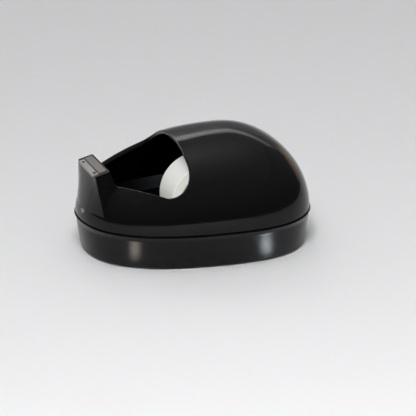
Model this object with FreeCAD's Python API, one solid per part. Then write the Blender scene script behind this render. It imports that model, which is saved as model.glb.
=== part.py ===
"""Desk tape dispenser: a pebble-shaped body in two halves with a roll of tape inside.

Origin at the middle of the underside, +X to the rear, -X to the cutter, +Z up. Millimetres.
"""
import FreeCAD
import Part
import math
import os

Vector = FreeCAD.Vector

# body outline, seen from above: two half ovals that meet at the widest place
body_length = 117.5
body_width = 90.0
widest_x = 15.25
outline_fullness = 0.95
dome_fullness = 0.7071

# heights
base_bottom = 0.7
parting_height = 18.3
body_height = 58.3
parting_gap = 0.4

# walls of the two halves
shell_wall = 2.6
base_wall = 2.4
base_taper = 2.6
bead_height = 1.5
bead_proud = 0.5
lip_wall = 1.6
lip_height = 3.0
lip_clearance = 0.3
lip_draft = 0.3
lip_root_depth = 3.0
lip_root_overlap = 0.5
bead_draft = 0.2

# mouth, as a cut seen from the side; its two sides differ, so it twists from one to the other
mouth_side_y = 32.0
mouth_back_x = -10.5
mouth_near_start_z = 50.2
mouth_near_bend = (-14.6, 40.9)
mouth_near_end = (-24.0, 36.9)
mouth_near_front = (-48.0, 41.6)
mouth_far_start_z = 51.0
mouth_far_bend = (-11.9, 47.0)
mouth_far_end = (-16.0, 43.6)
mouth_far_front = (-48.0, 32.4)

# cutter head, as a block between a sloping top and a wider foot
head_top_front = (-54.9, 44.3)
head_top_back = (-47.2, 46.3)
head_top_half_width = 13.7
head_foot_front_x = -52.3
head_foot_belly_x = -58.0
head_foot_back_x = -38.0
head_foot_half_width = 20.5
head_foot_z = 24.0
head_edge_radius = 1.0

# blade and rest in the top of the head
blade_half_width = 11.4
blade_thickness = 0.5
blade_depth = 2.6
tooth_pitch = 1.2
tooth_height = 1.0
rest_gap = 0.4
rest_depth = 3.9
rest_thickness = 0.9
rest_sink = 0.5
pocket_clearance = 0.05
rivet_radius = 0.7
rivet_length = 2.45
rivet_proud = 0.25
rivet_offset_y = 8.4

# roll of tape, its hub and its spindle
tape_width = 19.0
tape_outer_radius = 18.9
tape_side_play = 0.1
core_outer_radius = 14.2
core_inner_radius = 12.7
hub_radius = 12.6
hub_wall = 1.6
spoke_count = 6
spoke_thickness = 1.2
collar_length = 1.5
collar_wall = 1.4
flange_radius = 13.6
flange_thickness = 1.2
spindle_radius = 2.5
spindle_bore_clearance = 0.05
spindle_half_length = 18.0
spindle_end_chamfer = 0.5
washer_radius = 5.5
washer_thickness = 0.7
washer_gap = 0.3
roll_x = 5.5
roll_z = 23.5

# inner frame
deck_bottom = 12.0
deck_thickness = 2.0
deck_inset = 4.2
well_half_length = 21.5
well_half_width = 12.5
well_wall = 1.5
well_floor_bottom = 2.4
well_floor_thickness = 1.1
cheek_half_length = 8.0
cheek_thickness = 3.0
cheek_top = 29.0
slot_clearance = 0.08

# screws and the bosses that take them
boss_radius = 3.6
rib_thickness = 2.4
rib_clearance = 0.6
boss_places = ((-37.0, 23.0), (-37.0, -23.0), (41.0, 23.0), (41.0, -23.0))
screw_shank_radius = 1.3
screw_head_radius = 2.6
screw_head_height = 1.6
screw_length = 5.0
cover_screw_head_height = 0.8
cover_screw_seat = 1.7
ballast_screw_places = ((-27.0, 0.0), (40.0, 0.0))
ballast_screw_radius = 1.5
ballast_head_radius = 3.0
ballast_head_height = 1.8
head_screw_y = 8.0
head_screw_z = 33.6
head_screw_end_x = -54.6
head_screw_seat_x = -46.0
head_boss_radius = 3.2

# ballast, bottom cover and foot pad
ballast_gap = 0.4
ballast_inset = 6.0
ballast_foot_inset = 7.5
ballast_front_end = -18.5
ballast_rear_start = 31.0
cover_thickness = 1.7
cover_clearance = 0.3
pad_inset = 9.0
pad_sink = 0.5
pad_hole_radius = 4.2

# worked out from the above
front_reach = body_length / 2 + widest_x
rear_reach = body_length / 2 - widest_x
half_width = body_width / 2
dome_height = body_height - parting_height
base_top = parting_height - parting_gap
deck_top = deck_bottom + deck_thickness
cover_top = base_bottom + cover_thickness
half_tape = tape_width / 2
flange_inner = half_tape + tape_side_play
flange_outer = flange_inner + flange_thickness
washer_inner = flange_outer + washer_gap


def export(shape, name):
    shape.exportStep("parts/" + name + ".step")


def box(x_low, x_high, y_low, y_high, z_low, z_high):
    corner = Vector(x_low, y_low, z_low)
    return Part.makeBox(x_high - x_low, y_high - y_low, z_high - z_low, corner)


def rod_y(radius, y_low, y_high, x=roll_x, z=roll_z):
    return Part.makeCylinder(radius, y_high - y_low, Vector(x, y_low, z), Vector(0, 1, 0))


def rod_z(radius, z_low, z_high, x, y):
    return Part.makeCylinder(radius, z_high - z_low, Vector(x, y, z_low), Vector(0, 0, 1))


def outline_quarters(inset):
    """Signed reaches of the four quarters of the outline, in order round it."""
    front = -(front_reach - inset)
    rear = rear_reach - inset
    side = half_width - inset
    return ((rear, side), (front, side), (front, -side), (rear, -side))


def outline_wire(z, inset):
    """The body's outline at a height: four rounded quarters that meet smoothly."""
    edges = []
    for index, (reach_x, reach_y) in enumerate(outline_quarters(inset)):
        on_axis = Vector(widest_x + reach_x, 0, z)
        corner = Vector(widest_x + reach_x, reach_y, z)
        at_side = Vector(widest_x, reach_y, z)
        ends = (on_axis, at_side) if index % 2 == 0 else (at_side, on_axis)
        curve = Part.BezierCurve()
        curve.setPoles([ends[0], corner, ends[1]])
        curve.setWeight(2, outline_fullness)
        edges.append(curve.toShape())
    return Part.Wire(edges)


def outline_block(z_low, inset_low, z_high, inset_high):
    """A solid between two outlines at different heights."""
    return Part.makeLoft([outline_wire(z_low, inset_low), outline_wire(z_high, inset_high)], True, True)


def dome_patch(reach_x, reach_y, reach_z, z):
    """A quarter of the dome: the quarter outline shrinks to the top along a rounded profile."""
    across = ((reach_x, 0.0, 1.0), (reach_x, reach_y, outline_fullness), (0.0, reach_y, 1.0))
    upward = ((1.0, 0.0, 1.0), (1.0, 1.0, dome_fullness), (0.0, 1.0, 1.0))
    patch = Part.BezierSurface()
    patch.increase(2, 2)
    for i, (x, y, plan_weight) in enumerate(across):
        for j, (size, rise, rise_weight) in enumerate(upward):
            pole = Vector(widest_x + size * x, size * y, z + reach_z * rise)
            patch.setPole(i + 1, j + 1, pole)
            patch.setWeight(i + 1, j + 1, plan_weight * rise_weight)
    return patch.toShape()


def dome(z, inset):
    """The solid dome above a height, closed by a flat face."""
    faces = []
    for reach_x, reach_y in outline_quarters(inset):
        faces.append(dome_patch(reach_x, reach_y, dome_height - inset, z))
    faces.append(Part.Face(outline_wire(z, inset)))
    skin = Part.makeShell(faces)
    skin.sewShape()
    solid = Part.makeSolid(skin)
    if solid.Volume < 0:
        solid.reverse()
    return solid


def twisted(near, far, y):
    """A point of the mouth's side profile at a distance across, from its near and far places."""
    share = 0.5 + 0.5 * y / mouth_side_y
    x = near[0] + (far[0] - near[0]) * share
    z = near[1] + (far[1] - near[1]) * share
    return Vector(x, y, z)


def mouth_profile(y):
    """The mouth's profile at a distance across: a back edge, a round corner, a low lip, the open top."""
    high = body_height + 10
    start = Vector(mouth_back_x, y, high)
    bend_start = twisted((mouth_back_x, mouth_near_start_z), (mouth_back_x, mouth_far_start_z), y)
    bend_middle = twisted(mouth_near_bend, mouth_far_bend, y)
    bend_end = twisted(mouth_near_end, mouth_far_end, y)
    front = twisted(mouth_near_front, mouth_far_front, y)
    beyond = Vector(-body_length, y, front.z)
    above = Vector(-body_length, y, high)
    edges = [
        Part.makeLine(start, bend_start),
        Part.Arc(bend_start, bend_middle, bend_end).toShape(),
        Part.makeLine(bend_end, front),
        Part.makeLine(front, beyond),
        Part.makeLine(beyond, above),
        Part.makeLine(above, start),
    ]
    return Part.Wire(edges)


def mouth_cutter():
    """Everything that is open above the front."""
    return Part.makeLoft([mouth_profile(-half_width - 1), mouth_profile(half_width + 1)], True, True)


def head_screw_rods(radius, x_low, x_high):
    rods = []
    for side in (-1, 1):
        foot = Vector(x_low, side * head_screw_y, head_screw_z)
        rods.append(Part.makeCylinder(radius, x_high - x_low, foot, Vector(1, 0, 0)))
    return Part.makeCompound(rods)


def upper_shell(outer):
    """The open dome with two bosses inside its front for the head's screws."""
    inner = dome(parting_height, shell_wall)
    shell = outer.cut(inner)
    for boss in head_screw_rods(head_boss_radius, head_screw_end_x, head_screw_seat_x).Solids:
        shell = shell.fuse(boss.common(outer))
    return shell.cut(head_screw_rods(screw_shank_radius, head_screw_end_x - 3, head_screw_seat_x))


def slope_point(along, y, lift):
    """A point on the head's top: distance back from its front edge, across, and above the surface."""
    run = head_top_back[0] - head_top_front[0]
    rise = head_top_back[1] - head_top_front[1]
    size = math.hypot(run, rise)
    x = head_top_front[0] + (along * run - lift * rise) / size
    z = head_top_front[1] + (along * rise + lift * run) / size
    return Vector(x, y, z)


def slope_slab(along_low, along_high, half, lift_low, lift_high):
    """A flat slab parallel to the head's top."""
    corners = [
        slope_point(along_low, -half, lift_low),
        slope_point(along_high, -half, lift_low),
        slope_point(along_high, half, lift_low),
        slope_point(along_low, half, lift_low),
    ]
    lift = slope_point(0, 0, lift_high) - slope_point(0, 0, lift_low)
    return Part.Face(Part.makePolygon(corners + corners[:1])).extrude(lift)


def rectangle_wire(front, back, half):
    corners = [
        Vector(front[0], -half, front[1]),
        Vector(back[0], -half, back[1]),
        Vector(back[0], half, back[1]),
        Vector(front[0], half, front[1]),
    ]
    return Part.makePolygon(corners + corners[:1])


def head_foot():
    """The head's foot: a straight back and a front that bellies out like the dome under it."""
    front_side = Vector(head_foot_front_x, -head_foot_half_width, head_foot_z)
    belly = Vector(head_foot_belly_x, 0, head_foot_z)
    other_side = Vector(head_foot_front_x, head_foot_half_width, head_foot_z)
    back_side = Vector(head_foot_back_x, -head_foot_half_width, head_foot_z)
    back_other = Vector(head_foot_back_x, head_foot_half_width, head_foot_z)
    edges = [
        Part.makeLine(front_side, back_side),
        Part.makeLine(back_side, back_other),
        Part.makeLine(back_other, other_side),
        Part.Arc(other_side, belly, front_side).toShape(),
    ]
    return Part.Wire(edges)


def rises(edge):
    heights = [vertex.Point.z for vertex in edge.Vertexes]
    return max(heights) - min(heights) > body_height / 4


def head_block():
    """The head before it is fitted to the shell, with its four rising edges rounded."""
    top = rectangle_wire(head_top_front, head_top_back, head_top_half_width)
    block = Part.makeLoft([head_foot(), top], True, True)
    return block.makeFillet(head_edge_radius, [edge for edge in block.Edges if rises(edge)])


def cutter_head(open_dome):
    """The head on the outside of the shell, with pockets for the blade and the rest."""
    head = head_block().cut(open_dome)
    side = blade_half_width + pocket_clearance
    above = head_top_half_width
    head = head.cut(slope_slab(-above, blade_depth, side, -blade_thickness, above))
    rest_start = blade_depth + rest_gap
    head = head.cut(slope_slab(rest_start, rest_start + rest_depth, side, -rest_sink, above))
    head = head.cut(head_screw_rods(screw_shank_radius, head_screw_end_x, head_screw_seat_x))
    return head.cut(blade_rivets())


def blade_outline(lift):
    """The blade seen from above: a strip with a row of teeth along its front."""
    count = int(2 * blade_half_width / tooth_pitch)
    start = -count * tooth_pitch / 2
    points = [slope_point(blade_depth - pocket_clearance, -blade_half_width, lift)]
    points.append(slope_point(0, -blade_half_width, lift))
    for index in range(count):
        points.append(slope_point(0, start + index * tooth_pitch, lift))
        points.append(slope_point(-tooth_height, start + (index + 0.5) * tooth_pitch, lift))
    points.append(slope_point(0, start + count * tooth_pitch, lift))
    points.append(slope_point(0, blade_half_width, lift))
    points.append(slope_point(blade_depth - pocket_clearance, blade_half_width, lift))
    tidy = [points[0]]
    for point in points[1:]:
        if point.distanceToPoint(tidy[-1]) > 0.01:
            tidy.append(point)
    return Part.makePolygon(tidy + tidy[:1])


def cutter_blade():
    lift = slope_point(0, 0, blade_thickness) - slope_point(0, 0, 0)
    blade = Part.Face(blade_outline(-blade_thickness)).extrude(lift)
    return blade.cut(blade_rivets())


def blade_rivets():
    rivets = []
    axis = slope_point(0, 0, 1) - slope_point(0, 0, 0)
    for side in (-1, 1):
        foot = slope_point(blade_depth / 2, side * rivet_offset_y, rivet_proud - rivet_length)
        rivets.append(Part.makeCylinder(rivet_radius, rivet_length, foot, axis))
    return Part.makeCompound(rivets)


def tape_rest():
    start = blade_depth + rest_gap
    lift_low = -rest_sink
    return slope_slab(start, start + rest_depth, blade_half_width, lift_low, lift_low + rest_thickness)


def head_screws():
    shanks = head_screw_rods(screw_shank_radius, head_screw_end_x, head_screw_seat_x)
    heads = head_screw_rods(screw_head_radius, head_screw_seat_x, head_screw_seat_x + screw_head_height)
    return joined_pairs(shanks, heads)


def joined_pairs(shanks, heads):
    screws = []
    for shank, head in zip(shanks.Solids, heads.Solids):
        screws.append(shank.fuse(head).removeSplitter())
    return Part.makeCompound(screws)


def base_shell():
    wall_outside = outline_block(base_bottom, base_taper, base_top, 0.0)
    bead_low = base_top - bead_height
    bead_middle = base_top - bead_height / 2
    bead_root = base_taper * bead_height / base_top
    bead = outline_block(bead_low, bead_root, bead_middle, -bead_proud)
    bead_upper = outline_block(bead_middle, -bead_proud, base_top, bead_draft - bead_proud)
    outside = wall_outside.fuse(bead).fuse(bead_upper)
    inside = outline_block(base_bottom, base_taper + base_wall, base_top, base_wall)
    shell = outside.cut(inside)
    lip_inset = shell_wall + lip_clearance
    lip_low = base_top - lip_root_depth
    lip_top = base_top + lip_height
    lip_outer = outline_block(lip_low, base_wall - lip_root_overlap, base_top, lip_inset)
    lip_outer = lip_outer.fuse(outline_block(base_top, lip_inset, lip_top, lip_inset + lip_draft))
    lip_inner = outline_block(lip_low, lip_inset + lip_wall, lip_top, lip_inset + lip_wall)
    shell = shell.fuse(lip_outer.cut(lip_inner))
    for x, y in boss_places:
        shell = shell.fuse(boss_with_rib(x, y).common(wall_outside))
    for x, y in boss_places:
        shell = shell.cut(rod_z(screw_shank_radius, cover_top - 1, deck_bottom + 1, x, y))
    return shell.removeSplitter()


def boss_with_rib(x, y):
    boss = rod_z(boss_radius, cover_top, deck_bottom, x, y)
    side = math.copysign(1, y)
    y_ends = sorted((y, side * half_width))
    half_rib = rib_thickness / 2
    rib = box(x - half_rib, x + half_rib, y_ends[0], y_ends[1], cover_top, deck_bottom)
    return boss.fuse(rib)


def roll_cradle():
    deck = outline_block(deck_bottom, deck_inset, deck_top, deck_inset)
    well = box(roll_x - well_half_length - well_wall, roll_x + well_half_length + well_wall,
               -well_half_width - well_wall, well_half_width + well_wall, well_floor_bottom, deck_top)
    cradle = deck.fuse(well)
    for side in (-1, 1):
        y_ends = sorted((side * well_half_width, side * (well_half_width + cheek_thickness)))
        cheek = box(roll_x - cheek_half_length, roll_x + cheek_half_length, y_ends[0], y_ends[1],
                    deck_bottom, cheek_top)
        cradle = cradle.fuse(cheek)
    room = box(roll_x - well_half_length, roll_x + well_half_length, -well_half_width, well_half_width,
               well_floor_bottom + well_floor_thickness, deck_top + 1)
    cradle = cradle.cut(room)
    slot_radius = spindle_radius + slot_clearance
    reach = well_half_width + cheek_thickness + 1
    slot = rod_y(slot_radius, -reach, reach)
    slot = slot.fuse(box(roll_x - slot_radius, roll_x + slot_radius, -reach, reach, roll_z, cheek_top + 1))
    cradle = cradle.cut(slot)
    for x, y in boss_places:
        cradle = cradle.cut(rod_z(screw_shank_radius, deck_bottom - 1, deck_top + 1, x, y))
    for x, y in ballast_screw_places:
        cradle = cradle.cut(rod_z(ballast_screw_radius, deck_bottom - 1, deck_top + 1, x, y))
    return cradle.removeSplitter()


def screw(x, y, seat_z, direction, shank_radius, head_radius, head_height, length):
    """A screw whose head stands on seat_z and whose shank goes the way of direction."""
    axis = Vector(0, 0, direction)
    shank = Part.makeCylinder(shank_radius, length, Vector(x, y, seat_z), axis)
    head = Part.makeCylinder(head_radius, head_height, Vector(x, y, seat_z), axis * -1)
    return shank.fuse(head).removeSplitter()


def cradle_screws():
    screws = []
    for x, y in boss_places:
        screws.append(screw(x, y, deck_top, -1, screw_shank_radius, screw_head_radius,
                            screw_head_height, screw_length))
    return Part.makeCompound(screws)


def base_screws():
    screws = []
    for x, y in boss_places:
        screws.append(screw(x, y, cover_screw_seat, 1, screw_shank_radius, screw_head_radius,
                            cover_screw_head_height, screw_length))
    return Part.makeCompound(screws)


def ballast_screws():
    seat = cover_top + ballast_gap + ballast_head_height
    length = deck_top - seat
    screws = []
    for x, y in ballast_screw_places:
        screws.append(screw(x, y, seat, 1, ballast_screw_radius, ballast_head_radius, ballast_head_height, length))
    return Part.makeCompound(screws)


def ballast_block(x_low, x_high, screw_place):
    low = cover_top + ballast_gap
    half_slot = rib_thickness / 2 + rib_clearance
    block = outline_block(low, ballast_foot_inset, deck_bottom, ballast_inset)
    block = block.common(box(x_low, x_high, -body_width, body_width, low, deck_bottom))
    for x, y in boss_places:
        block = block.cut(rod_z(boss_radius + ballast_gap, low - 1, deck_bottom + 1, x, y))
        side = math.copysign(1, y)
        y_ends = sorted((y, side * body_width))
        slot = box(x - half_slot, x + half_slot, y_ends[0], y_ends[1], low - 1, deck_bottom + 1)
        block = block.cut(slot)
    x, y = screw_place
    block = block.cut(rod_z(ballast_screw_radius, low - 1, deck_bottom + 1, x, y))
    return block.cut(rod_z(ballast_head_radius, low - 1, low + ballast_head_height, x, y))


def bottom_cover():
    inset = base_taper + base_wall + cover_clearance
    cover = outline_block(base_bottom, inset, cover_top, inset)
    for x, y in boss_places:
        cover = cover.cut(rod_z(screw_shank_radius, base_bottom - 1, cover_top + 1, x, y))
        cover = cover.cut(rod_z(screw_head_radius, base_bottom - 1, cover_screw_seat, x, y))
    return cover.cut(foot_pad())


def foot_pad():
    block = outline_block(0.0, pad_inset, base_bottom + pad_sink, pad_inset)
    for x, y in boss_places:
        block = block.cut(rod_z(pad_hole_radius, -1, base_bottom + pad_sink + 1, x, y))
    return block


def tape_core():
    return rod_y(core_outer_radius, -half_tape, half_tape).cut(
        rod_y(core_inner_radius, -half_tape, half_tape))


def tape_winding():
    return rod_y(tape_outer_radius, -half_tape, half_tape).cut(
        rod_y(core_outer_radius, -half_tape, half_tape))


def hub_drum():
    """Hollow drum with one flange, a middle tube for the spindle and six spokes."""
    drum = rod_y(hub_radius, -flange_inner, flange_inner)
    drum = drum.cut(rod_y(hub_radius - hub_wall, -flange_inner, flange_inner))
    drum = drum.fuse(rod_y(flange_radius, -flange_outer, -flange_inner))
    drum = drum.fuse(rod_y(spindle_radius + hub_wall, -flange_inner, flange_inner))
    half_spoke = spoke_thickness / 2
    for index in range(spoke_count):
        spoke = box(roll_x + spindle_radius + half_spoke, roll_x + hub_radius - half_spoke,
                    -flange_inner, flange_inner - collar_length - tape_side_play,
                    roll_z - half_spoke, roll_z + half_spoke)
        spoke.rotate(Vector(roll_x, 0, roll_z), Vector(0, 1, 0), 360 / spoke_count * index)
        drum = drum.fuse(spoke)
    bore = rod_y(spindle_radius + spindle_bore_clearance, -flange_outer - 1, flange_inner + 1)
    return drum.cut(bore).removeSplitter()


def hub_flange():
    """The loose flange that closes the drum, with a short collar inside it."""
    flange = rod_y(flange_radius, flange_inner, flange_outer)
    collar_radius = hub_radius - hub_wall
    collar_start = flange_inner - collar_length
    collar = rod_y(collar_radius, collar_start, flange_inner)
    collar = collar.cut(rod_y(collar_radius - collar_wall, collar_start, flange_inner))
    flange = flange.fuse(collar)
    bore = rod_y(spindle_radius + spindle_bore_clearance, flange_inner - 2, flange_outer + 1)
    return flange.cut(bore).removeSplitter()


def spindle_pin():
    """Plain pin with chamfered ends."""
    pin = rod_y(spindle_radius, -spindle_half_length, spindle_half_length)
    ends = []
    for edge in pin.Edges:
        if abs(abs(edge.CenterOfMass.y) - spindle_half_length) < 0.01:
            ends.append(edge)
    return pin.makeChamfer(spindle_end_chamfer, ends)


def spindle_washers():
    washers = []
    for side in (-1, 1):
        y_ends = sorted((side * washer_inner, side * (washer_inner + washer_thickness)))
        washer = rod_y(washer_radius, y_ends[0], y_ends[1])
        washers.append(washer.cut(rod_y(spindle_radius, y_ends[0], y_ends[1])))
    return Part.makeCompound(washers)


def main():
    os.makedirs("parts", exist_ok=True)
    open_dome = dome(parting_height, 0.0).cut(mouth_cutter())
    export(upper_shell(open_dome), "upper_shell")
    export(cutter_head(open_dome), "cutter_head")
    export(head_screws(), "head_screws")
    export(cutter_blade(), "cutter_blade")
    export(blade_rivets(), "blade_rivets")
    export(tape_rest(), "tape_rest")
    export(base_shell(), "base_shell")
    export(roll_cradle(), "roll_cradle")
    export(cradle_screws(), "cradle_screws")
    export(ballast_block(-body_length, ballast_front_end, ballast_screw_places[0]), "ballast_front")
    export(ballast_block(ballast_rear_start, body_length, ballast_screw_places[1]), "ballast_rear")
    export(ballast_screws(), "ballast_screws")
    export(bottom_cover(), "bottom_cover")
    export(base_screws(), "base_screws")
    export(foot_pad(), "foot_pad")
    export(spindle_pin(), "spindle_pin")
    export(spindle_washers(), "spindle_washers")
    export(hub_drum(), "hub_drum")
    export(hub_flange(), "hub_flange")
    export(tape_core(), "tape_core")
    export(tape_winding(), "tape_winding")


main()
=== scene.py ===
"""Desk tape dispenser: finished pieces, finishes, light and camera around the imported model."""
from __future__ import annotations

import logging
import math
from dataclasses import dataclass
from enum import Enum
from typing import Sequence

import bmesh
import bpy
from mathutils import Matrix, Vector, noise

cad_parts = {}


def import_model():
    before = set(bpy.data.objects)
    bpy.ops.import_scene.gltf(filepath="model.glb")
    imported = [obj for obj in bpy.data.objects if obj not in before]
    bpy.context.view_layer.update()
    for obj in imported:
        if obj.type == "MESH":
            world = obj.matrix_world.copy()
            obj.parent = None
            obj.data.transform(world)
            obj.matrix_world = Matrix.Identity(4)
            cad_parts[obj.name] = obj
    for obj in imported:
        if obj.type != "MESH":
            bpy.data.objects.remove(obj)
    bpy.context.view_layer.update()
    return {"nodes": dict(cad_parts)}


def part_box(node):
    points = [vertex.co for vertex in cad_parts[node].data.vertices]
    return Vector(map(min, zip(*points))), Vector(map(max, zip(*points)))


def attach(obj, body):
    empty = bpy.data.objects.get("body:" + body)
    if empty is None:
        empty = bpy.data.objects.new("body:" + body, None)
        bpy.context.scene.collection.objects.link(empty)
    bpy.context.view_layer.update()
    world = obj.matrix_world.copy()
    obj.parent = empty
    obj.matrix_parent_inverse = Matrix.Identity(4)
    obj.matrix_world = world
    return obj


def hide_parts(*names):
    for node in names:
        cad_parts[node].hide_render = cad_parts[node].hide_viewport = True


LOG = logging.getLogger("dispenser")


class Body(Enum):
    """The rigid bodies that pieces ride on."""

    BASE = "base"
    COVER = "cover"
    ROLL = "roll"


# ---------------------------------------------------------------- shader maths


class Signal:
    """An output socket that takes part in Python arithmetic."""

    def __init__(self, graph: "Graph", socket: bpy.types.NodeSocket) -> None:
        """Wraps a socket.

        Args:
            graph: The node graph that holds the socket.
            socket: The output socket.
        """
        self.graph = graph
        self.socket = socket

    def _math(self, operation: str, first: "Signal | float", second: "Signal | float") -> "Signal":
        """Adds one Math node and returns its result."""
        return self.graph.node("ShaderNodeMath", {"operation": operation}, {0: first, 1: second}).out()

    def __add__(self, other: "Signal | float") -> "Signal":
        """self + other."""
        return self._math("ADD", self, other)

    def __radd__(self, other: float) -> "Signal":
        """other + self."""
        return self._math("ADD", other, self)

    def __sub__(self, other: "Signal | float") -> "Signal":
        """self - other."""
        return self._math("SUBTRACT", self, other)

    def __rsub__(self, other: float) -> "Signal":
        """other - self."""
        return self._math("SUBTRACT", other, self)

    def __mul__(self, other: "Signal | float") -> "Signal":
        """self * other."""
        return self._math("MULTIPLY", self, other)

    def __rmul__(self, other: float) -> "Signal":
        """other * self."""
        return self._math("MULTIPLY", other, self)

    def __gt__(self, other: float) -> "Signal":
        """One where self is greater than other, else zero."""
        return self._math("GREATER_THAN", self, other)


class NodeHandle:
    """A node whose outputs come back as signals."""

    def __init__(self, graph: "Graph", node: bpy.types.Node) -> None:
        """Keeps the node and its graph."""
        self.graph = graph
        self.node = node

    def out(self, name: str | int = 0) -> Signal:
        """The named or numbered output."""
        return Signal(self.graph, self.node.outputs[name])


class Graph:
    """The node graph of a material or of the world."""

    def __init__(self, owner: bpy.types.Material | bpy.types.World) -> None:
        """Empties the owner's graph.

        Args:
            owner: The material or world.
        """
        self.owner = owner
        owner.use_nodes = True
        self.tree = owner.node_tree
        self.tree.nodes.clear()

    @classmethod
    def material(cls, name: str) -> "Graph":
        """The empty graph of a new material."""
        return cls(bpy.data.materials.new(name))

    def node(self, kind: str, settings: dict | None = None, inputs: dict | None = None) -> NodeHandle:
        """Adds a node.

        Args:
            kind: The node's type name.
            settings: Attributes set before the inputs. A ramp's stops come under "stops".
            inputs: Socket name or number to a value or a Signal.

        Returns:
            The node's handle.
        """
        made = self.tree.nodes.new(kind)
        for key, value in (settings or {}).items():
            if key == "stops":
                self._set_stops(made, value)
            else:
                setattr(made, key, value)
        for key, value in (inputs or {}).items():
            if isinstance(value, Signal):
                self.tree.links.new(value.socket, made.inputs[key])
            else:
                made.inputs[key].default_value = value
        return NodeHandle(self, made)

    @staticmethod
    def _set_stops(ramp: bpy.types.Node, stops: Sequence[tuple[float, Sequence[float]]]) -> None:
        """Gives a colour ramp its stops.

        Args:
            ramp: The ramp node.
            stops: Position and colour pairs, two or more.
        """
        elements = ramp.color_ramp.elements
        while len(elements) < len(stops):
            elements.new(0.5)
        for element, (position, colour) in zip(elements, stops):
            element.position = position
            element.color = (*colour, 1.0)

    def place(self) -> Signal:
        """The point on the piece, in the model's frame."""
        return self.node("ShaderNodeTexCoord").out("Object")

    def stretched(self, scale: Sequence[float]) -> Signal:
        """The point on the piece, scaled along each axis."""
        return self.node("ShaderNodeMapping", {}, {"Vector": self.place(), "Scale": tuple(scale)}).out()

    def noise(self, scale: float, detail: float = 2.0, vector: Signal | None = None) -> Signal:
        """Soft noise from 0 to 1.

        Args:
            scale: Features per metre.
            detail: Octaves.
            vector: Where to look it up, or the plain place.

        Returns:
            The noise value.
        """
        where = vector or self.place()
        inputs = {"Vector": where, "Scale": scale, "Detail": detail}
        return self.node("ShaderNodeTexNoise", {}, inputs).out(0)

    def mix(self, factor: Signal | float, first: Sequence[float] | Signal,
            second: Sequence[float] | Signal) -> Signal:
        """A mix of two colours."""
        inputs = {0: factor, 6: self._colour(first), 7: self._colour(second)}
        return self.node("ShaderNodeMix", {"data_type": "RGBA"}, inputs).out(2)

    @staticmethod
    def _colour(value: Sequence[float] | Signal) -> Sequence[float] | Signal:
        """Gives a bare colour its alpha."""
        return value if isinstance(value, Signal) else (*value, 1.0)

    def bump(self, height: Signal, distance: float, strength: float = 1.0) -> Signal:
        """A bumped normal.

        Args:
            height: The height, from 0 to 1.
            distance: The depth in metres that a height of 1 stands for.
            strength: How much of it is used.

        Returns:
            The normal.
        """
        inputs = {"Strength": strength, "Distance": distance, "Height": height}
        return self.node("ShaderNodeBump", {}, inputs).out()

    def surface(self, **inputs: Signal | float | Sequence[float]) -> bpy.types.Material:
        """Ends the graph with a Principled shader.

        Args:
            **inputs: Socket names with underscores for spaces.

        Returns:
            The finished material.
        """
        named = {}
        for key, value in inputs.items():
            socket = key.replace("_", " ")
            named[socket] = self._colour(value) if socket.endswith("Color") else value
        shader = self.node("ShaderNodeBsdfPrincipled", {}, named)
        self.node("ShaderNodeOutputMaterial", {}, {"Surface": shader.out()})
        return self.owner


# ---------------------------------------------------------------- finishes


@dataclass(frozen=True)
class PolishedPlastic:
    """A polished black moulding: faint flow, smears, hairlines and a little dust."""

    name: str
    colour: tuple[float, float, float]
    dust_colour: tuple[float, float, float] = (0.05, 0.048, 0.045)
    roughness: float = 0.07
    smear: float = 0.07
    hairline: float = 0.05
    reflectance: float = 0.36

    def build(self) -> bpy.types.Material:
        """Makes the material.

        Returns:
            The material.
        """
        g = Graph.material(self.name)
        smears = g.noise(38.0, 3.0, g.stretched((1.0, 1.4, 0.7)))
        hairs = g.noise(900.0, 2.0, g.stretched((0.06, 1.0, 1.3))) > 0.66
        dust = g.noise(2600.0, 1.0) > 0.78
        tint = g.mix(smears * 0.35, self.colour, [channel * 1.8 for channel in self.colour])
        colour = g.mix(dust * 0.5, tint, self.dust_colour)
        roughness = smears * self.smear + hairs * self.hairline + dust * 0.2 + self.roughness
        peel = g.noise(210.0, 1.0) * 0.6 + g.noise(60.0, 1.0) * 0.4
        normal = g.bump(peel, 0.00006, 0.35)
        return g.surface(Base_Color=colour, Roughness=roughness, Normal=normal, IOR=1.47,
                         Specular_IOR_Level=self.reflectance)


@dataclass(frozen=True)
class SatinPlastic:
    """A satin moulding with a fine sparked grain and soft flow marks."""

    name: str
    colour: tuple[float, float, float]
    roughness: float = 0.33
    grain: float = 2400.0
    depth: float = 0.00004
    reflectance: float = 0.5

    def build(self) -> bpy.types.Material:
        """Makes the material.

        Returns:
            The material.
        """
        g = Graph.material(self.name)
        flow = g.noise(45.0, 2.0, g.stretched((1.0, 1.0, 0.25)))
        grain = g.noise(self.grain, 2.0)
        specks = g.noise(self.grain * 0.4, 1.0) > 0.74
        colour = g.mix(flow, [c * 0.75 for c in self.colour], [c * 1.35 for c in self.colour])
        colour = g.mix(specks * 0.25, colour, [c * 3.0 for c in self.colour])
        roughness = flow * 0.10 + grain * 0.10 + (self.roughness - 0.1)
        normal = g.bump(grain, self.depth, 0.5)
        return g.surface(Base_Color=colour, Roughness=roughness, Normal=normal,
                         Specular_IOR_Level=self.reflectance)


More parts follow.
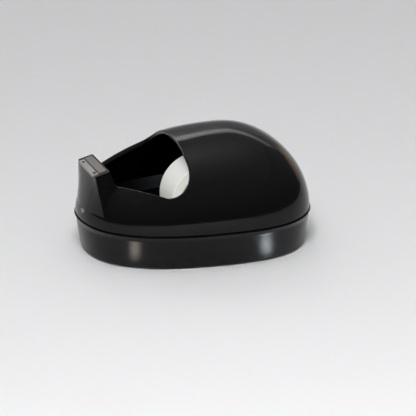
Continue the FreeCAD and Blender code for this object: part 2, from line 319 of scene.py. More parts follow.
@dataclass(frozen=True)
class Steel:
    """Drawn or brushed steel with fine lines along one axis."""

    name: str
    colour: tuple[float, float, float]
    grain_scale: tuple[float, float, float] = (1.0, 0.03, 1.0)
    roughness: float = 0.24

    def build(self) -> bpy.types.Material:
        """Makes the material.

        Returns:
            The material.
        """
        g = Graph.material(self.name)
        lines = g.noise(5200.0, 3.0, g.stretched(self.grain_scale))
        stain = g.noise(140.0, 3.0)
        colour = g.mix(lines * 0.6, self.colour, [c * 0.62 for c in self.colour])
        colour = g.mix(stain * 0.35, colour, [c * 0.7 for c in self.colour])
        roughness = lines * 0.16 + stain * 0.1 + (self.roughness - 0.08)
        return g.surface(Base_Color=colour, Metallic=1.0, Roughness=roughness,
                         Normal=g.bump(lines, 0.00002, 0.5))


@dataclass(frozen=True)
class FrostedTape:
    """Wound frosted film: milky, with fine rings on its sides and faint bands round it."""

    name: str
    film: tuple[float, float, float] = (0.86, 0.865, 0.83)
    deep: tuple[float, float, float] = (0.76, 0.77, 0.70)
    centre: tuple[float, float] = (0.0, 0.0)
    layer: float = 0.0003
    half_width: float = 0.0095

    def build(self) -> bpy.types.Material:
        """Makes the material.

        Returns:
            The material.
        """
        g = Graph.material(self.name)
        offset = {"operation": "SUBTRACT"}
        middle = (self.centre[0], 0.0, self.centre[1])
        local = g.node("ShaderNodeVectorMath", offset, {0: g.place(), 1: middle}).out()
        parts = g.node("ShaderNodeSeparateXYZ", {}, {0: local})
        flat = g.node("ShaderNodeCombineXYZ", {}, {0: parts.out(0), 2: parts.out(2)}).out()
        radius = g.node("ShaderNodeVectorMath", {"operation": "LENGTH"}, {0: flat}).out("Value")
        turns = radius * (2 * math.pi / self.layer)
        rings = g.node("ShaderNodeMath", {"operation": "SINE"}, {0: turns}).out()
        across = g.node("ShaderNodeMath", {"operation": "ABSOLUTE"}, {0: parts.out(1)}).out()
        side = across > (self.half_width - self.layer)
        bands = g.noise(700.0, 2.0, g.stretched((0.05, 1.0, 0.05)))
        cloud = g.noise(90.0, 2.0)
        colour = g.mix(bands * 0.3 + cloud * 0.25, self.film, self.deep)
        ringed = g.mix(rings * 0.2 + 0.45, self.film, self.deep)
        colour = g.mix(side, colour, ringed)
        roughness = cloud * 0.12 + bands * 0.08 + 0.34
        height = rings * side * 0.5 + bands * 0.5
        return g.surface(Base_Color=colour, Roughness=roughness, Normal=g.bump(height, 0.00003, 0.6),
                         Subsurface_Weight=0.25, Subsurface_Radius=(0.004, 0.004, 0.0035),
                         Subsurface_Scale=0.5)


@dataclass(frozen=True)
class PressedBoard:
    """Grey-brown board with fibres and darker flecks."""

    name: str
    colour: tuple[float, float, float]

    def build(self) -> bpy.types.Material:
        """Makes the material.

        Returns:
            The material.
        """
        g = Graph.material(self.name)
        fibre = g.noise(1500.0, 4.0, g.stretched((1.0, 0.2, 1.0)))
        flecks = g.noise(900.0, 1.0) > 0.7
        colour = g.mix(fibre, [c * 0.7 for c in self.colour], [c * 1.2 for c in self.colour])
        colour = g.mix(flecks * 0.4, colour, [c * 0.45 for c in self.colour])
        return g.surface(Base_Color=colour, Roughness=fibre * 0.15 + 0.75,
                         Normal=g.bump(fibre, 0.00008, 0.6))


@dataclass(frozen=True)
class CoarseSolid:
    """Rough cast metal or foam rubber: a pitted, mottled surface."""

    name: str
    colour: tuple[float, float, float]
    pits: float = 700.0
    depth: float = 0.0002
    roughness: float = 0.8
    metallic: float = 0.0

    def build(self) -> bpy.types.Material:
        """Makes the material.

        Returns:
            The material.
        """
        g = Graph.material(self.name)
        cells = g.node("ShaderNodeTexVoronoi", {}, {"Vector": g.place(), "Scale": self.pits}).out("Distance")
        mottle = g.noise(160.0, 3.0)
        colour = g.mix(mottle, [c * 0.6 for c in self.colour], [c * 1.5 for c in self.colour])
        return g.surface(Base_Color=colour, Metallic=self.metallic, Normal=g.bump(cells, self.depth, 0.6),
                         Roughness=mottle * 0.15 + (self.roughness - 0.08))


# ---------------------------------------------------------------- form


@dataclass(frozen=True)
class Pebble:
    """The body's form: an outline of two half ovals, a dome above it and a tapered base below."""

    front_reach: float = 0.074
    rear_reach: float = 0.0435
    half_width: float = 0.045
    widest_x: float = 0.01525
    fullness: float = 0.95
    parting: float = 0.0183
    height: float = 0.0583

    @property
    def rise(self) -> float:
        """The dome's height above the parting line."""
        return self.height - self.parting

    def gauge(self, x: float, y: float) -> float:
        """How far out a plan point lies: 1 on the outline, less inside it.

        Args:
            x: Distance behind the widest place.
            y: Distance from the middle plane.

        Returns:
            The ratio.
        """
        reach = self.rear_reach if x > 0 else self.front_reach
        p = abs(x) / reach
        q = abs(y) / self.half_width
        total = p + q
        if total == 0:
            return 0.0
        square = 4 * self.fullness ** 2
        a = total * total - square * p * q
        b = total * (square - 2)
        c = 1 - square
        root = math.sqrt(b * b - 4 * a * c)
        return 2 * a / (root - b)

    def outline(self, angle: float, inset: float = 0.0) -> tuple[float, float]:
        """The outline's point in a direction seen from above.

        Args:
            angle: Radians round from the rear.
            inset: How far inside the outline.

        Returns:
            x and y in the model's frame.
        """
        x = math.cos(angle) * (self.rear_reach if math.cos(angle) > 0 else self.front_reach)
        y = math.sin(angle) * self.half_width
        size = self.gauge(x, y)
        x, y = x / size, y / size
        if inset:
            dx, dy = self._outward(x, y)
            x, y = x - inset * dx, y - inset * dy
        return self.widest_x + x, y

    def _outward(self, x: float, y: float) -> tuple[float, float]:
        """The outline's outward direction at one of its points.

        Args:
            x: Distance behind the widest place.
            y: Distance from the middle plane.

        Returns:
            The direction's x and y.
        """
        step = 1e-5
        gx = self.gauge(x + step, y) - self.gauge(x - step, y)
        gy = self.gauge(x, y + step) - self.gauge(x, y - step)
        size = math.hypot(gx, gy)
        return gx / size, gy / size

    def level(self, point: Vector) -> float:
        """1 on the dome's surface, less inside it."""
        across = self.gauge(point.x - self.widest_x, point.y)
        return math.hypot(across, (point.z - self.parting) / self.rise)

    def unit(self, point: Vector) -> Vector:
        """The point's direction in the space where the dome is near a round ball.

        Args:
            point: A point in the model's frame.

        Returns:
            A unit vector of that space.
        """
        x = point.x - self.widest_x
        reach = self.rear_reach if x > 0 else self.front_reach
        height = (point.z - self.parting) / self.rise
        return Vector((x / reach, point.y / self.half_width, height)).normalized()

    def on_dome(self, direction: Vector) -> Vector:
        """The dome's point in a direction of the space that unit gives.

        Args:
            direction: A vector of that space.

        Returns:
            The point in the model's frame.
        """
        reach = self.rear_reach if direction.x > 0 else self.front_reach
        local = Vector((direction.x * reach, direction.y * self.half_width, direction.z * self.rise))
        size = math.hypot(self.gauge(local.x, local.y), local.z / self.rise)
        return Vector((self.widest_x, 0.0, self.parting)) + local / size

    def normal(self, point: Vector) -> Vector:
        """The dome's outward normal.

        Args:
            point: A point on or near the dome.

        Returns:
            The unit normal.
        """
        step = 2e-5
        slope = []
        for axis in range(3):
            shift = Vector((0.0, 0.0, 0.0))
            shift[axis] = step
            slope.append(self.level(point + shift) - self.level(point - shift))
        return Vector(slope).normalized()


def grid_mesh(name: str, rows: Sequence[Sequence[Vector]], loop_rows: bool) -> bpy.types.Object:
    """A smooth mesh over closed rings of points.

    Args:
        name: The piece's name.
        rows: Rings of points, each ring closed on itself.
        loop_rows: Whether the last ring joins the first.

    Returns:
        The new object, linked to the scene.
    """
    count = len(rows[0])
    points = [tuple(point) for row in rows for point in row]
    faces = []
    last = len(rows) if loop_rows else len(rows) - 1
    for i in range(last):
        following = (i + 1) % len(rows)
        for j in range(count):
            beside = (j + 1) % count
            faces.append((i * count + j, i * count + beside,
                          following * count + beside, following * count + j))
    return solid_object(name, points, faces)


def solid_object(name: str, points: Sequence[Sequence[float]],
                 faces: Sequence[Sequence[int]]) -> bpy.types.Object:
    """Makes and links an object with outward faces and smooth shading.

    Args:
        name: The object's name.
        points: The corners.
        faces: Corner numbers, one list to a face.

    Returns:
        The object.
    """
    mesh = bpy.data.meshes.new(name)
    mesh.from_pydata(points, [], faces)
    work = bmesh.new()
    work.from_mesh(mesh)
    bmesh.ops.remove_doubles(work, verts=work.verts, dist=1e-7)
    bmesh.ops.recalc_face_normals(work, faces=work.faces)
    work.to_mesh(mesh)
    work.free()
    mesh.shade_smooth()
    made = bpy.data.objects.new(name, mesh)
    bpy.context.scene.collection.objects.link(made)
    return made


def hard_edges(piece: bpy.types.Object, degrees: float = 35.0) -> None:
    """Keeps the piece's sharp corners sharp."""
    piece.data.set_sharp_from_angle(angle=math.radians(degrees))


def finish_piece(piece: bpy.types.Object, material: bpy.types.Material, body: Body,
                 nodes: Sequence[str] = ()) -> None:
    """Dresses a new piece and ties it to the frame.

    Args:
        piece: The piece.
        material: Its finish.
        body: The body that it rides on.
        nodes: The CAD nodes that it stands for.
    """
    piece.data.materials.clear()
    piece.data.materials.append(material)
    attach(piece, body.value)
    if nodes:
        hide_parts(*nodes)
    LOG.info("%s: %d faces, rides on %s", piece.name, len(piece.data.polygons), body.value)


# ---------------------------------------------------------------- sub-assemblies


@dataclass(frozen=True)
class MouthSide:
    """The mouth's side profile at one side of the body: back edge, round corner, low lip."""

    start_z: float
    bend: tuple[float, float]
    end: tuple[float, float]
    front: tuple[float, float]

    def point(self, back_x: float, crest_z: float, share: float) -> tuple[float, float]:
        """A point of the profile.

        Args:
            back_x: Where the back edge stands.
            crest_z: Where the profile starts.
            share: From 0 at the crest to 3 at the front: one for each of its three parts.

        Returns:
            x and z.
        """
        if share <= 1:
            return back_x, crest_z + (self.start_z - crest_z) * share
        if share <= 2:
            return self._on_bend((back_x, self.start_z), share - 1)
        along = share - 2
        return (self.end[0] + (self.front[0] - self.end[0]) * along,
                self.end[1] + (self.front[1] - self.end[1]) * along)

    def _on_bend(self, start: tuple[float, float], share: float) -> tuple[float, float]:
        """A point of the round corner, the arc through its start, middle and end.

        Args:
            start: The arc's first point.
            share: From 0 at the start to 1 at the end.

        Returns:
            x and z.
        """
        (ax, ay), (bx, by), (cx, cy) = start, self.bend, self.end
        scale = 2 * (ax * (by - cy) + bx * (cy - ay) + cx * (ay - by))
        first, second, third = ax * ax + ay * ay, bx * bx + by * by, cx * cx + cy * cy
        ox = (first * (by - cy) + second * (cy - ay) + third * (ay - by)) / scale
        oy = (first * (cx - bx) + second * (ax - cx) + third * (bx - ax)) / scale
        begin = math.atan2(ay - oy, ax - ox)
        swing = math.atan2(cy - oy, cx - ox) - begin
        swing = math.remainder(swing, 2 * math.pi)
        radius = math.hypot(ax - ox, ay - oy)
        angle = begin + swing * share
        return ox + radius * math.cos(angle), oy + radius * math.sin(angle)


@dataclass
class UpperShell:
    """The glossy domed cover with its open mouth and softened rim."""

    form: Pebble
    wall: float = 0.0026
    mouth_back_x: float = -0.0105
    mouth_side_y: float = 0.032
    near: MouthSide = MouthSide(0.0502, (-0.0146, 0.0409), (-0.0240, 0.0369), (-0.0480, 0.0416))
    far: MouthSide = MouthSide(0.0510, (-0.0119, 0.0470), (-0.0160, 0.0436), (-0.0480, 0.0324))
    around: int = 320
    across: int = 96
    rim_edge: float = 0.0009
    rim_steps: int = 5
    rim_set_back: float = 0.035
    mouth_middle: tuple[float, float, float] = (-0.028, 0.0, 0.045)
    foot_round: float = 0.0003
    boss_y: float = 0.008
    boss_z: float = 0.0336
    boss_radius: float = 0.0032
    boss_end_x: float = -0.046
    boss_root: float = 0.975
    boss_sides: int = 40

    def _crest_z(self) -> float:
        """The dome's height over the mouth's back edge in the middle plane."""
        across = self.form.gauge(self.mouth_back_x - self.form.widest_x, 0.0)
        return self.form.parting + self.form.rise * math.sqrt(1 - across * across)

    def _cut_point(self, share: float, y: float) -> Vector:
        """A point of the mouth's cut surface.

        Args:
            share: From 0 at the crest to 3 at the front.
            y: Distance from the middle plane.

        Returns:
            The point.
        """
        crest = self._crest_z()
        near_x, near_z = self.near.point(self.mouth_back_x, crest, share)
        far_x, far_z = self.far.point(self.mouth_back_x, crest, share)
        blend = 0.5 + 0.5 * y / self.mouth_side_y
        return Vector((near_x + (far_x - near_x) * blend, y, near_z + (far_z - near_z) * blend))

    def _rim_point(self, share: float, side: int) -> Vector | None:
        """Where the cut leaves the dome.

        Args:
            share: From 0 at the crest to 3 at the front.
            side: -1 for the near side, 1 for the far one.

        Returns:
            The point, or nothing beyond the mouth's front.
        """
        if self.form.level(self._cut_point(share, 0.0)) > 1.0000001:
            return None
        low, high = 0.0, self.form.half_width
        for _ in range(44):
            middle = (low + high) / 2
            if self.form.level(self._cut_point(share, side * middle)) < 1:
                low = middle
            else:
                high = middle
        return self._cut_point(share, side * low)

    def rim_points(self) -> list[Vector]:
        """Evenly spaced points of the rim.

        Returns:
            The points, from the crest down the near side and back up the far one.
        """
        fine = 1500
        shares = [3 * (0.5 - 0.5 * math.cos(math.pi * i / fine)) for i in range(fine + 1)]
        near = [self._rim_point(share, -1) for share in shares]
        far = [self._rim_point(share, 1) for share in shares]
        loop = [point for point in near if point] + [point for point in reversed(far) if point]
        return resample(loop[:-1], self.around)

    def rings(self) -> list[list[Vector]]:
        """The shell's rings.

        Returns:
            Rings over the softened rim, the outer face, the foot and the inner face.
        """
        rim = self.rim_points()
        outer: list[list[Vector]] = [[] for _ in range(self.across + 1)]
        normals: list[list[Vector]] = [[] for _ in range(self.across + 1)]
        for index, point in enumerate(rim):
            x, y = self.form.outline(-2 * math.pi * index / self.around)
            foot = self.form.unit(Vector((x, y, self.form.parting + self.foot_round)))
            start = self.form.unit(point)
            for step in range(self.across + 1):
                share = self.rim_set_back + (1 - self.rim_set_back) * step / self.across
                place = self.form.on_dome(start.slerp(foot, share))
                outer[step].append(place)
                normals[step].append(self.form.normal(place))
        inner = [[p - n * self.wall for p, n in zip(row, side)] for row, side in zip(outer, normals)]
        return self._rim_rows(rim) + outer + self._foot(outer[-1], inner[-1]) + inner[::-1]

    def _rim_rows(self, rim: list[Vector]) -> list[list[Vector]]:
        """Rows over the rim's flat land, with both its edges rounded.

        Args:
            rim: The rim's points on the dome.

        Returns:
            The rows from the inner face to the outer one.
        """
        steps = self.rim_steps
        rows: list[list[Vector]] = [[] for _ in range(2 * steps + 2)]
        edge = self.rim_edge
        for index, point in enumerate(rim):
            normal = self.form.normal(point)
            along = (rim[(index + 1) % len(rim)] - rim[index - 1]).normalized()
            away = along.cross(normal).normalized()
            away = away if away.dot(Vector(self.mouth_middle) - point) > 0 else -away
            outer_centre = point - (normal + away) * edge
            inner_centre = point - normal * (self.wall - edge) - away * edge
            for step in range(steps + 1):
                turn = math.pi / 2 * step / steps
                inner = inner_centre - normal * edge * math.cos(turn) + away * edge * math.sin(turn)
                outer = outer_centre + normal * edge * math.sin(turn) + away * edge * math.cos(turn)
                rows[step].append(inner)
                rows[steps + 1 + step].append(outer)
        return rows

    def _foot(self, outer: list[Vector], inner: list[Vector]) -> list[list[Vector]]:
        """The flat foot of the wall with softened edges.

        Args:
            outer: The last ring of the outer face.
            inner: The last ring of the inner face.

        Returns:
            The foot's two rings.
        """
        outside: list[Vector] = []
        inside: list[Vector] = []
        for near, far in zip(outer, inner):
            step = (far - near).normalized() * self.foot_round
            outside.append(Vector((near.x + step.x, near.y + step.y, self.form.parting)))
            inside.append(Vector((far.x - step.x, far.y - step.y, self.form.parting)))
        return [outside, inside]

    def _boss(self, mesh: bpy.types.Mesh, side: int) -> None:
        """Adds the boss for one of the head's screws, rooted inside the front wall.

        Args:
            mesh: The shell's mesh.
            side: -1 for the near boss, 1 for the far one.
        """
        work = bmesh.new()
        work.from_mesh(mesh)
        roots: list[bmesh.types.BMVert] = []
        ends: list[bmesh.types.BMVert] = []
        tip_x = self.form.widest_x - self.form.front_reach
        for step in range(self.boss_sides):
            turn = 2 * math.pi * step / self.boss_sides
            y = side * self.boss_y + self.boss_radius * math.cos(turn)
            z = self.boss_z + self.boss_radius * math.sin(turn)
            low, high = self.boss_end_x, tip_x
            for _ in range(40):
                middle = (low + high) / 2
                inside = self.form.level(Vector((middle, y, z))) < self.boss_root
                low, high = (middle, high) if inside else (low, middle)
            roots.append(work.verts.new((low, y, z)))
            ends.append(work.verts.new((self.boss_end_x, y, z)))
        for step in range(self.boss_sides):
            after = (step + 1) % self.boss_sides
            work.faces.new((roots[step], roots[after], ends[after], ends[step]))
        work.faces.new(ends)
        work.faces.new(roots[::-1])
        made = {face for vert in roots + ends for face in vert.link_faces}
        bmesh.ops.recalc_face_normals(work, faces=list(made))
        work.to_mesh(mesh)
        work.free()

    def build(self, material: bpy.types.Material) -> bpy.types.Object:
        """Makes the shell.

        Args:
            material: Its finish.

        Returns:
            The shell.
        """
        shell = grid_mesh("cover_shell", self.rings(), True)
        for side in (-1, 1):
            self._boss(shell.data, side)
        hard_edges(shell, 60.0)
        finish_piece(shell, material, Body.COVER, ["upper_shell"])
        return shell


def resample(loop: Sequence[Vector], count: int) -> list[Vector]:
    """Evenly spaced points of a closed loop.

    Args:
        loop: The loop's points.
        count: How many to return.

    Returns:
        The new points, the first at the loop's start.
    """
    closed = list(loop) + [loop[0]]
    lengths = [0.0]
    for first, second in zip(closed, closed[1:]):
        lengths.append(lengths[-1] + (second - first).length)
    points = []
    segment = 0
    for index in range(count):
        target = lengths[-1] * index / count
        while lengths[segment + 1] < target:
            segment += 1
        span = lengths[segment + 1] - lengths[segment]
        share = (target - lengths[segment]) / span if span else 0.0
        points.append(closed[segment].lerp(closed[segment + 1], share))
    return points


@dataclass
class BaseShell:
    """The satin base: a tapered wall, a proud bead at its top and a locating lip inside."""

    form: Pebble
    bottom: float = 0.0007
    top: float = 0.0179
    taper: float = 0.0026
    wall: float = 0.0024
    bead: float = 0.0015
    proud: float = 0.0005
    lip_inset: float = 0.0029
    lip_wall: float = 0.0016
    lip_height: float = 0.003
    lip_depth: float = 0.003
    lip_chamfer: float = 0.0003
    foot_round: float = 0.001
    bead_round: float = 0.0005
    bead_crease: tuple[float, float] = (0.00012, 0.00008)
    top_land: float = 0.0012
    wall_gap: float = 0.0004
    side_steps: int = 8
    around: int = 320

    def profile(self) -> list[tuple[float, float]]:
        """The wall's section.

        Returns:
            Inset and height pairs once round it.
        """
        side_low = self.bottom + self.foot_round
        bead_low = self.top - self.bead
        pairs = [(self.taper + self.wall, self.bottom)]
        pairs += self._arc(self.taper + self.foot_round, side_low, self.foot_round, -90, -180, 6)
        for i in range(1, self.side_steps):
            z = side_low + (bead_low - side_low) * i / self.side_steps
            pairs.append((self._side_inset(z), z))
        shoulder = self._side_inset(bead_low)
        crease_in, crease_up = self.bead_crease
        pairs += [(shoulder, bead_low), (shoulder - crease_in, bead_low + crease_up)]
        pairs += self._arc(self.bead_round - self.proud, self.top - self.bead_round, self.bead_round,
                           -200, -270, 7)
        pairs += [(self.top_land, self.top), (self.lip_inset, self.top)]
        lip_top = self.top + self.lip_height
        lip_low = self.top - self.lip_depth
        lip_back = self.lip_inset + self.lip_wall
        pairs += [(self.lip_inset, lip_top - self.lip_chamfer), (self.lip_inset + self.lip_chamfer, lip_top)]
        pairs += [(lip_back, lip_top), (lip_back, lip_low), (self.wall + self.wall_gap, lip_low)]
        return pairs

    def _side_inset(self, z: float) -> float:
        """How far the tapered side stands inside the outline at a height."""
        return self.taper * (1 - (z - self.bottom) / (self.top - self.bottom))

    @staticmethod
    def _arc(inset: float, z: float, radius: float, start: float, end: float,
             steps: int) -> list[tuple[float, float]]:
        """Points of an arc in the section.

        Args:
            inset: The centre's inset.
            z: The centre's height.
            radius: The arc's radius.
            start: The first angle in degrees, 0 pointing inward and 90 up.
            end: The last angle in degrees.
            steps: How many chords make the arc.

        Returns:
            Inset and height pairs.
        """
        angles = [math.radians(start + (end - start) * i / steps) for i in range(steps + 1)]
        return [(inset + radius * math.cos(angle), z + radius * math.sin(angle)) for angle in angles]

    def build(self, material: bpy.types.Material) -> bpy.types.Object:
        """Makes the base.

        Args:
            material: Its finish.

        Returns:
            The base.
        """
        rows = []
        for inset, z in self.profile():
            row = []
            for index in range(self.around):
                x, y = self.form.outline(2 * math.pi * index / self.around, inset)
                row.append(Vector((x, y, z)))
            rows.append(row)
        base = grid_mesh("base_tub", rows, True)
        hard_edges(base, 50.0)
        finish_piece(base, material, Body.BASE, ["base_shell"])
        return base


@dataclass
class SoftEdged:
    """A CAD piece whose sharp edges get a small round, so that they catch the light."""

    node: str
    name: str
    width: float = 0.00025
    segments: int = 3
    flat_degrees: float = 1.5
    sharp_degrees: float = 30.0
    weld: float = 2e-6

    def build(self, nodes: dict[str, bpy.types.Object], material: bpy.types.Material, body: Body,
              slot: str) -> bpy.types.Object:
        """Makes the piece from the node's mesh.

        Args:
            nodes: Every CAD node by name.
            material: The piece's finish.
            body: The body that it rides on.
            slot: A name for the finish's slot; not used.

        Returns:
            The piece.
        """
        mesh = nodes[self.node].data.copy()
        work = bmesh.new()
        work.from_mesh(mesh)
        bmesh.ops.remove_doubles(work, verts=work.verts, dist=self.weld)
        bmesh.ops.dissolve_limit(work, angle_limit=math.radians(self.flat_degrees), verts=work.verts,
                                 edges=work.edges)
        sharp = [edge for edge in work.edges
                 if edge.is_manifold and edge.calc_face_angle(0.0) > math.radians(self.sharp_degrees)]
        bmesh.ops.bevel(work, geom=sharp, offset=self.width, segments=self.segments, affect="EDGES",
                        profile=0.5, clamp_overlap=True)
        bmesh.ops.recalc_face_normals(work, faces=work.faces)
        work.to_mesh(mesh)
        work.free()
        mesh.shade_smooth()
        piece = bpy.data.objects.new(self.name, mesh)
        bpy.context.scene.collection.objects.link(piece)
        hard_edges(piece, 25.0)
        even = piece.modifiers.new("even", "WEIGHTED_NORMAL")
        even.keep_sharp = True
        finish_piece(piece, material, body, [self.node])
        return piece


@dataclass
class TapeRoll:
    """The wound tape on its board core."""

    centre: tuple[float, float]
    half_width: float = 0.0095
    outer: float = 0.0189
    middle: float = 0.0142
    inner: float = 0.0127
    waver: float = 0.00003
    step: float = 0.00002
    around: int = 256

    def lathe(self, name: str, profile: Sequence[tuple[float, float]], seed: float) -> bpy.types.Object:
        """A ring turned about the roll's axis.

        Args:
            name: The piece's name.
            profile: Radius and y pairs once round the section.
            seed: Shifts the small unevenness of its edges.

        Returns:
            The ring.
        """
        rows = []
        for number, (radius, y) in enumerate(profile):
            row = []
            for index in range(self.around):
                angle = 2 * math.pi * index / self.around
                place = Vector((math.cos(angle) * 3, math.sin(angle) * 3, seed + number * 0.7))
                wobble = noise.noise(place) * self.waver
                side = y - math.copysign(abs(wobble), y)
                row.append(Vector((self.centre[0] + radius * math.cos(angle), side,
                                   self.centre[1] + radius * math.sin(angle))))
            rows.append(row)
        return grid_mesh(name, rows, True)

    def ring_profile(self, low: float, high: float, edge: float, steps: int) -> list[tuple[float, float]]:
        """A ring's section with softened edges and stepped side faces.

        Args:
            low: The inner radius.
            high: The outer radius.
            edge: The size of the softened edges.
            steps: Rings of points across a side face.

        Returns:
            Radius and y pairs once round it.
        """
        y = self.half_width
        pairs = [(high, -y + edge), (high, y - edge), (high - edge, y)]
        for i in range(1, steps):
            pairs.append((high - edge - (high - low - 2 * edge) * i / steps, y - self.step * (i % 2)))
        pairs += [(low + edge, y), (low, y - edge), (low, -y + edge), (low + edge, -y)]
        for i in range(1, steps):
            pairs.append((low + edge + (high - low - 2 * edge) * i / steps, -y + self.step * (i % 2)))
        pairs.append((high - edge, -y))
        return pairs

    def build(self, film: bpy.types.Material,
              board: bpy.types.Material) -> tuple[bpy.types.Object, bpy.types.Object]:
        """Makes the winding and the core.

        Args:
            film: The winding's finish.
            board: The core's finish.

        Returns:
            The winding and the core.
        """
        winding = self.lathe("tape_windings", self.ring_profile(self.middle, self.outer, 0.00015, 16), 1.0)
        hard_edges(winding, 40.0)
        finish_piece(winding, film, Body.ROLL, ["tape_winding"])
        core = self.lathe("core_tube", self.ring_profile(self.inner, self.middle, 0.0001, 4), 9.0)
        hard_edges(core, 40.0)
        finish_piece(core, board, Body.ROLL, ["tape_core"])
        return winding, core


# ---------------------------------------------------------------- studio


@dataclass(frozen=True)
class SoftLight:
    """One elliptical light. A light through the floor has only its receivers as blockers."""

    name: str
    place: tuple[float, float, float]
    aim: tuple[float, float, float]
    size: tuple[float, float]
    watts: float
    colour: tuple[float, float, float] = (1.0, 1.0, 1.0)
    through_floor: bool = False

    def build(self, receivers: bpy.types.Collection) -> None:
        """Adds the light.

        Args:
            receivers: The only pieces that it lights.
        """
        data = bpy.data.lights.new(self.name, "AREA")
        data.shape = "ELLIPSE"
        data.size, data.size_y = self.size
        data.energy = self.watts
        data.color = self.colour
        made = bpy.data.objects.new(self.name, data)
        made.location = Vector(self.place)
        made.rotation_euler = (Vector(self.aim) - Vector(self.place)).to_track_quat("-Z", "Y").to_euler()
        made.light_linking.receiver_collection = receivers
        if self.through_floor:
            made.light_linking.blocker_collection = receivers
        bpy.context.scene.collection.objects.link(made)
        LOG.info("light %s: %.2f W", self.name, self.watts)


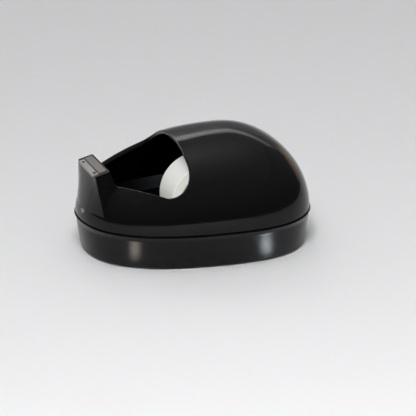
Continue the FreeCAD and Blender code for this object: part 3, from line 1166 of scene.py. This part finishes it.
@dataclass
class Studio:
    """Pale floor and backdrop, soft lights and the camera."""

    azimuth: float = -19.5
    elevation: float = 20.5
    distance: float = 2.8
    view_width: float = 0.208
    anchor: tuple[float, float, float] = (0.00115, 0.0, 0.0183)
    shift_right: float = 0.00735
    shift_down: float = 0.00185
    surround: tuple[float, float, float] = (0.34, 0.34, 0.35)
    horizon: tuple[float, float, float] = (0.09, 0.09, 0.095)
    sweep_half: float = 2.6
    sweep_bend_y: float = 1.5
    sweep_radius: float = 0.7
    sweep_top: float = 1.9
    sweep_steps: int = 16
    canopy_half: tuple[float, float] = (1.5, 1.3)
    canopy_height: float = 1.5
    canopy_middle_y: float = 0.35
    canopy_glow: tuple[float, float, float] = (1.35, 1.34, 1.32)

    def axes(self) -> tuple[Vector, Vector, Vector]:
        """The camera's directions.

        Returns:
            Right, up and forward.
        """
        az, el = math.radians(self.azimuth), math.radians(self.elevation)
        right = Vector((math.cos(az), math.sin(az), 0.0))
        forward = Vector((-math.sin(az) * math.cos(el), math.cos(az) * math.cos(el), -math.sin(el)))
        return right, right.cross(forward), forward

    def camera(self) -> None:
        """Adds the camera."""
        right, up, forward = self.axes()
        target = Vector(self.anchor) + right * self.shift_right - up * self.shift_down
        data = bpy.data.cameras.new("view")
        data.sensor_width = 36.0
        data.lens = data.sensor_width * self.distance / self.view_width
        data.clip_end = 20.0
        made = bpy.data.objects.new("view", data)
        made.location = target - forward * self.distance
        made.rotation_euler = forward.to_track_quat("-Z", "Y").to_euler()
        bpy.context.scene.collection.objects.link(made)
        bpy.context.scene.camera = made

    def sweep(self) -> bpy.types.Object:
        """Adds the floor, which curves up into the backdrop.

        Returns:
            The sweep.
        """
        steps = self.sweep_steps
        profile = [(-self.sweep_half, 0.0), (self.sweep_bend_y, 0.0)]
        for i in range(1, steps + 1):
            turn = math.pi / 2 * i / steps
            profile.append((self.sweep_bend_y + self.sweep_radius * math.sin(turn),
                            self.sweep_radius * (1 - math.cos(turn))))
        profile.append((profile[-1][0], self.sweep_top))
        points = [(side * self.sweep_half, y, z) for y, z in profile for side in (-1, 1)]
        faces = [(2 * i, 2 * i + 1, 2 * i + 3, 2 * i + 2) for i in range(len(profile) - 1)]
        sweep = solid_object("sweep", points, faces)
        g = Graph.material("pale_sweep")
        cloud = g.noise(3.0, 3.0)
        colour = g.mix(cloud * 0.3, (0.86, 0.86, 0.865), (0.82, 0.82, 0.825))
        sweep.data.materials.append(g.surface(Base_Color=colour, Roughness=cloud * 0.1 + 0.65))
        return sweep

    def canopy(self) -> None:
        """Adds a glowing panel overhead that fades out to its edges, for a soft sheen."""
        half_x, half_y = self.canopy_half
        front, rear = self.canopy_middle_y - half_y, self.canopy_middle_y + half_y
        points = [(x, y, self.canopy_height)
                  for x, y in ((-half_x, front), (half_x, front), (half_x, rear), (-half_x, rear))]
        panel = solid_object("canopy", points, [(0, 1, 2, 3)])
        g = Graph.material("canopy_glow")
        to_disc = {"Vector": g.place(), "Location": (0.0, -self.canopy_middle_y / half_y, 0.0),
                   "Scale": (1 / half_x, 1 / half_y, 0.0)}
        centred = g.node("ShaderNodeMapping", {}, to_disc).out()
        round_fade = {"gradient_type": "QUADRATIC_SPHERE"}
        fade = g.node("ShaderNodeTexGradient", round_fade, {"Vector": centred}).out(0)
        glow = g.mix(fade, self.surround, self.canopy_glow)
        panel.data.materials.append(g.surface(Base_Color=(0.0, 0.0, 0.0), Emission_Color=glow,
                                              Emission_Strength=1.0, Roughness=0.9))
        panel.visible_camera = False

    def world(self) -> None:
        """Adds a surround that is dim all round and lighter overhead."""
        made = bpy.data.worlds.new("surround")
        g = Graph(made)
        place = g.node("ShaderNodeTexCoord").out("Generated")
        height = g.node("ShaderNodeSeparateXYZ", {}, {0: place}).out(2)
        stops = ((0.1, self.horizon), (0.9, self.surround))
        colour = g.node("ShaderNodeValToRGB", {"stops": stops}, {0: height}).out(0)
        back = g.node("ShaderNodeBackground", {}, {"Color": colour, "Strength": 1.0})
        g.node("ShaderNodeOutputWorld", {}, {"Surface": back.out()})
        bpy.context.scene.world = made

    @staticmethod
    def group(name: str, pieces: Sequence[bpy.types.Object]) -> bpy.types.Collection:
        """A collection of pieces that share lights.

        Args:
            name: The collection's name.
            pieces: What it holds.

        Returns:
            The collection.
        """
        made = bpy.data.collections.new(name)
        for piece in pieces:
            made.objects.link(piece)
        return made

    @staticmethod
    def lights() -> dict[str, tuple[SoftLight, ...]]:
        """The lights, by the set of pieces that they light.

        Returns:
            Set name to its lights.
        """
        middle = (0.0, 0.0, 0.03)
        mouth = (-0.015, -0.01, 0.035)
        warm, cool, amber = (1.0, 0.90, 0.80), (0.88, 0.95, 1.0), (1.0, 0.66, 0.42)
        return {
            "floor_set": (
                SoftLight("key", (-0.5, -0.5, 1.9), middle, (1.6, 1.6), 420.0),
                SoftLight("wash", (0.3, 1.0, 1.8), (0.0, 1.4, 0.2), (1.6, 1.0), 25.0),
            ),
            "pale_set": (
                SoftLight("roll_fill", (-0.55, -1.0, 0.75), mouth, (0.5, 0.5), 19.0),
            ),
            "base_set": (
                SoftLight("base_left", (-0.0587, -0.0470, -0.0067), (-0.0405, -0.0318, 0.0117),
                          (0.007, 0.007), 0.0062, warm, True),
                SoftLight("base_right", (0.0406, -0.0612, -0.0085), (0.0244, -0.043, 0.009),
                          (0.007, 0.008), 0.0120, cool, True),
            ),
            "shell_set": (
                SoftLight("front_glint", (-0.31, 0.42, -0.045), (-0.058, -0.002, 0.024),
                          (0.020, 0.060), 0.2, (0.86, 0.94, 1.0), True),
                SoftLight("warm_edge", (1.25, 0.95, 0.10), (0.047, -0.022, 0.038),
                          (0.70, 0.55), 0.45, amber),
                SoftLight("rim_strip", (-0.42, 0.66, 0.46), (-0.02, 0.0, 0.05), (0.85, 0.14), 1.6),
            ),
        }

    def build(self, pale: Sequence[bpy.types.Object], base: bpy.types.Object,
              shell: bpy.types.Object) -> None:
        """Sets the whole studio.

        Args:
            pale: The pale pieces and the blade, which share a fill light.
            base: The satin base.
            shell: The glossy cover.
        """
        bpy.context.scene.view_settings.view_transform = "Standard"
        self.camera()
        sweep = self.sweep()
        self.canopy()
        self.world()
        pieces = {"floor_set": [sweep], "pale_set": pale, "base_set": [base], "shell_set": [shell]}
        for name, lights in self.lights().items():
            receivers = self.group(name, pieces[name])
            for light in lights:
                light.build(receivers)


# ---------------------------------------------------------------- assembly


def dress_nodes(nodes: dict[str, bpy.types.Object], finishes: dict[str, bpy.types.Material]) -> None:
    """Gives the carried-over CAD nodes their finishes.

    Args:
        nodes: Every CAD node by name.
        finishes: Node name to material.
    """
    for name, material in finishes.items():
        data = nodes[name].data
        data.materials.clear()
        data.materials.append(material)
        LOG.info("%s: dressed as %s", name, material.name)


def main() -> None:
    """Loads the frame, builds and dresses every piece, and sets the studio."""
    logging.basicConfig(level=logging.INFO, format="%(name)s: %(message)s")
    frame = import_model()
    low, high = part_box("tape_winding")
    roll_centre = ((low[0] + high[0]) / 2, (low[2] + high[2]) / 2)
    form = Pebble()

    gloss = PolishedPlastic("gloss_black", (0.004, 0.004, 0.0044), reflectance=0.26).build()
    satin = SatinPlastic("satin_black", (0.005, 0.005, 0.0055), roughness=0.22, reflectance=0.2).build()
    inner_black = SatinPlastic("inner_black", (0.006, 0.006, 0.006), roughness=0.55).build()
    rest = SatinPlastic("rest_pad", (0.10, 0.088, 0.075), roughness=0.30).build()
    hub_grey = SatinPlastic("hub_grey", (0.09, 0.09, 0.095), roughness=0.42).build()
    nylon = SatinPlastic("washer_nylon", (0.50, 0.50, 0.46), roughness=0.45).build()
    blade = Steel("blade_steel", (0.34, 0.33, 0.31)).build()
    zinc = Steel("screw_zinc", (0.16, 0.16, 0.165), (1.0, 1.0, 0.1), 0.34).build()
    turned = Steel("turned_steel", (0.55, 0.55, 0.55), (1.0, 0.3, 1.0), 0.2).build()
    film = FrostedTape("frosted_tape", centre=roll_centre).build()
    board = PressedBoard("core_board", (0.38, 0.30, 0.21)).build()
    iron = CoarseSolid("cast_iron", (0.05, 0.05, 0.052), metallic=0.6, roughness=0.6).build()
    foam = CoarseSolid("pad_foam", (0.018, 0.018, 0.018), pits=2200.0, depth=0.0001, roughness=0.9).build()

    nodes = frame["nodes"]
    shell = UpperShell(form).build(gloss)
    base = BaseShell(form).build(satin)
    winding, core = TapeRoll(roll_centre).build(film, board)
    SoftEdged("cutter_head", "cutter_block").build(nodes, gloss, Body.COVER, "shell_gloss")
    dress_nodes(nodes, {
        "tape_rest": rest, "cutter_blade": blade, "blade_rivets": gloss, "head_screws": zinc,
        "roll_cradle": inner_black, "cradle_screws": zinc, "ballast_front": iron, "ballast_rear": iron,
        "ballast_screws": zinc, "bottom_cover": inner_black, "base_screws": zinc, "foot_pad": foam,
        "spindle_pin": turned, "spindle_washers": nylon, "hub_drum": hub_grey, "hub_flange": hub_grey,
    })
    pale = [winding, core, nodes["hub_drum"], nodes["hub_flange"], nodes["tape_rest"], nodes["cutter_blade"]]
    Studio().build(pale, base, shell)


if __name__ == "__main__":
    main()
